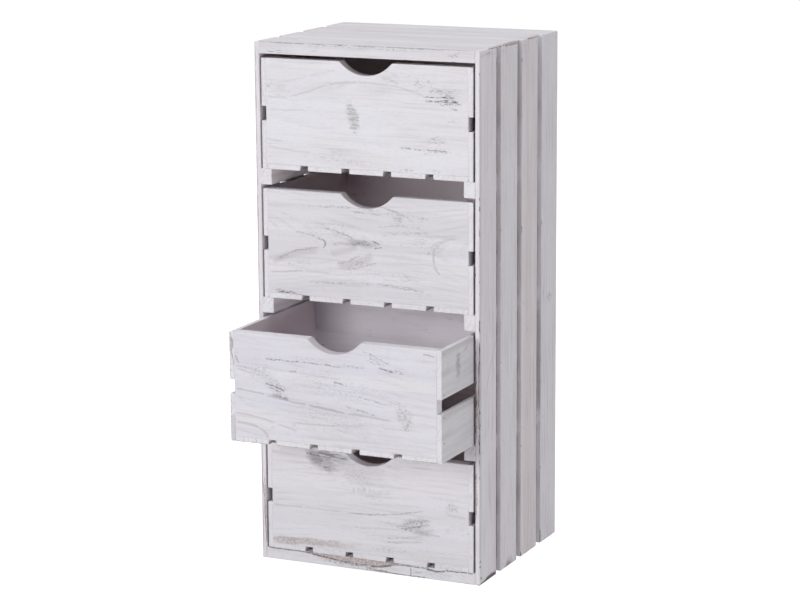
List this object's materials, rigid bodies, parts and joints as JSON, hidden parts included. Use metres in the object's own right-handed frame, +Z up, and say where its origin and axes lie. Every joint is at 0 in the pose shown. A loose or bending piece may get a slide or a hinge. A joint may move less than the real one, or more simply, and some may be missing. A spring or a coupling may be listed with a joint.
{
  "type": "narrow chest of drawers",
  "caption": "Tall narrow whitewashed plank chest with slatted sides and open-topped crate drawers, each with an arched finger cut-out; one drawer stands partly open.",
  "frame": {"origin": "middle of the carcass's footprint, on the floor", "axes": "+X to the right of someone facing the drawers, +Y to the back, +Z up; the drawers pull out along -Y"},
  "size_m": [0.3654, 0.42, 0.8],
  "materials": {
    "carcass_wood": "whitewashed, worn at the edges",
    "drawer_wood": "whitewashed, faint grain and scuffs",
    "runner_wood": "whitewashed, sawn",
    "back_plywood": "thin plywood, one coat of whitewash",
    "nail_steel": "dull bright-drawn wire"
  },
  "bodies": {
    "carcass": {"left_side_plank_1": "carcass_wood", "left_side_plank_2": "carcass_wood", "left_side_plank_3": "carcass_wood", "left_side_plank_4": "carcass_wood", "right_side_plank_1": "carcass_wood", "right_side_plank_2": "carcass_wood", "right_side_plank_3": "carcass_wood", "right_side_plank_4": "carcass_wood", "top_board": "carcass_wood", "bottom_board": "carcass_wood", "left_runner_1": "runner_wood", "right_runner_1": "runner_wood", "left_runner_2": "runner_wood", "right_runner_2": "runner_wood", "left_runner_3": "runner_wood", "right_runner_3": "runner_wood", "back_panel": "back_plywood", "carcass_nails": "nail_steel"},
    "drawer_1": {"drawer_1_front": "drawer_wood", "drawer_1_back": "drawer_wood", "drawer_1_left_lower_side": "drawer_wood", "drawer_1_left_upper_side": "drawer_wood", "drawer_1_right_lower_side": "drawer_wood", "drawer_1_right_upper_side": "drawer_wood", "drawer_1_bottom_planks": "drawer_wood", "drawer_1_nails": "nail_steel"},
    "drawer_2": {"drawer_2_front": "drawer_wood", "drawer_2_back": "drawer_wood", "drawer_2_left_lower_side": "drawer_wood", "drawer_2_left_upper_side": "drawer_wood", "drawer_2_right_lower_side": "drawer_wood", "drawer_2_right_upper_side": "drawer_wood", "drawer_2_bottom_planks": "drawer_wood", "drawer_2_nails": "nail_steel"},
    "drawer_3": {"drawer_3_front": "drawer_wood", "drawer_3_back": "drawer_wood", "drawer_3_left_lower_side": "drawer_wood", "drawer_3_left_upper_side": "drawer_wood", "drawer_3_right_lower_side": "drawer_wood", "drawer_3_right_upper_side": "drawer_wood", "drawer_3_bottom_planks": "drawer_wood", "drawer_3_nails": "nail_steel"},
    "drawer_4": {"drawer_4_front": "drawer_wood", "drawer_4_back": "drawer_wood", "drawer_4_left_lower_side": "drawer_wood", "drawer_4_left_upper_side": "drawer_wood", "drawer_4_right_lower_side": "drawer_wood", "drawer_4_right_upper_side": "drawer_wood", "drawer_4_bottom_planks": "drawer_wood", "drawer_4_nails": "nail_steel"}
  },
  "joints": [
    {"name": "drawer_1_slide", "type": "slide", "parent": "carcass", "child": "drawer_1", "axis": [0, -1, 0], "range_m": [0, 0.23]},
    {"name": "drawer_2_slide", "type": "slide", "parent": "carcass", "child": "drawer_2", "axis": [0, -1, 0], "range_m": [0, 0.23]},
    {"name": "drawer_3_slide", "type": "slide", "parent": "carcass", "child": "drawer_3", "axis": [0, -1, 0], "range_m": [-0.115, 0.115]},
    {"name": "drawer_4_slide", "type": "slide", "parent": "carcass", "child": "drawer_4", "axis": [0, -1, 0], "range_m": [0, 0.23]}
  ]
}
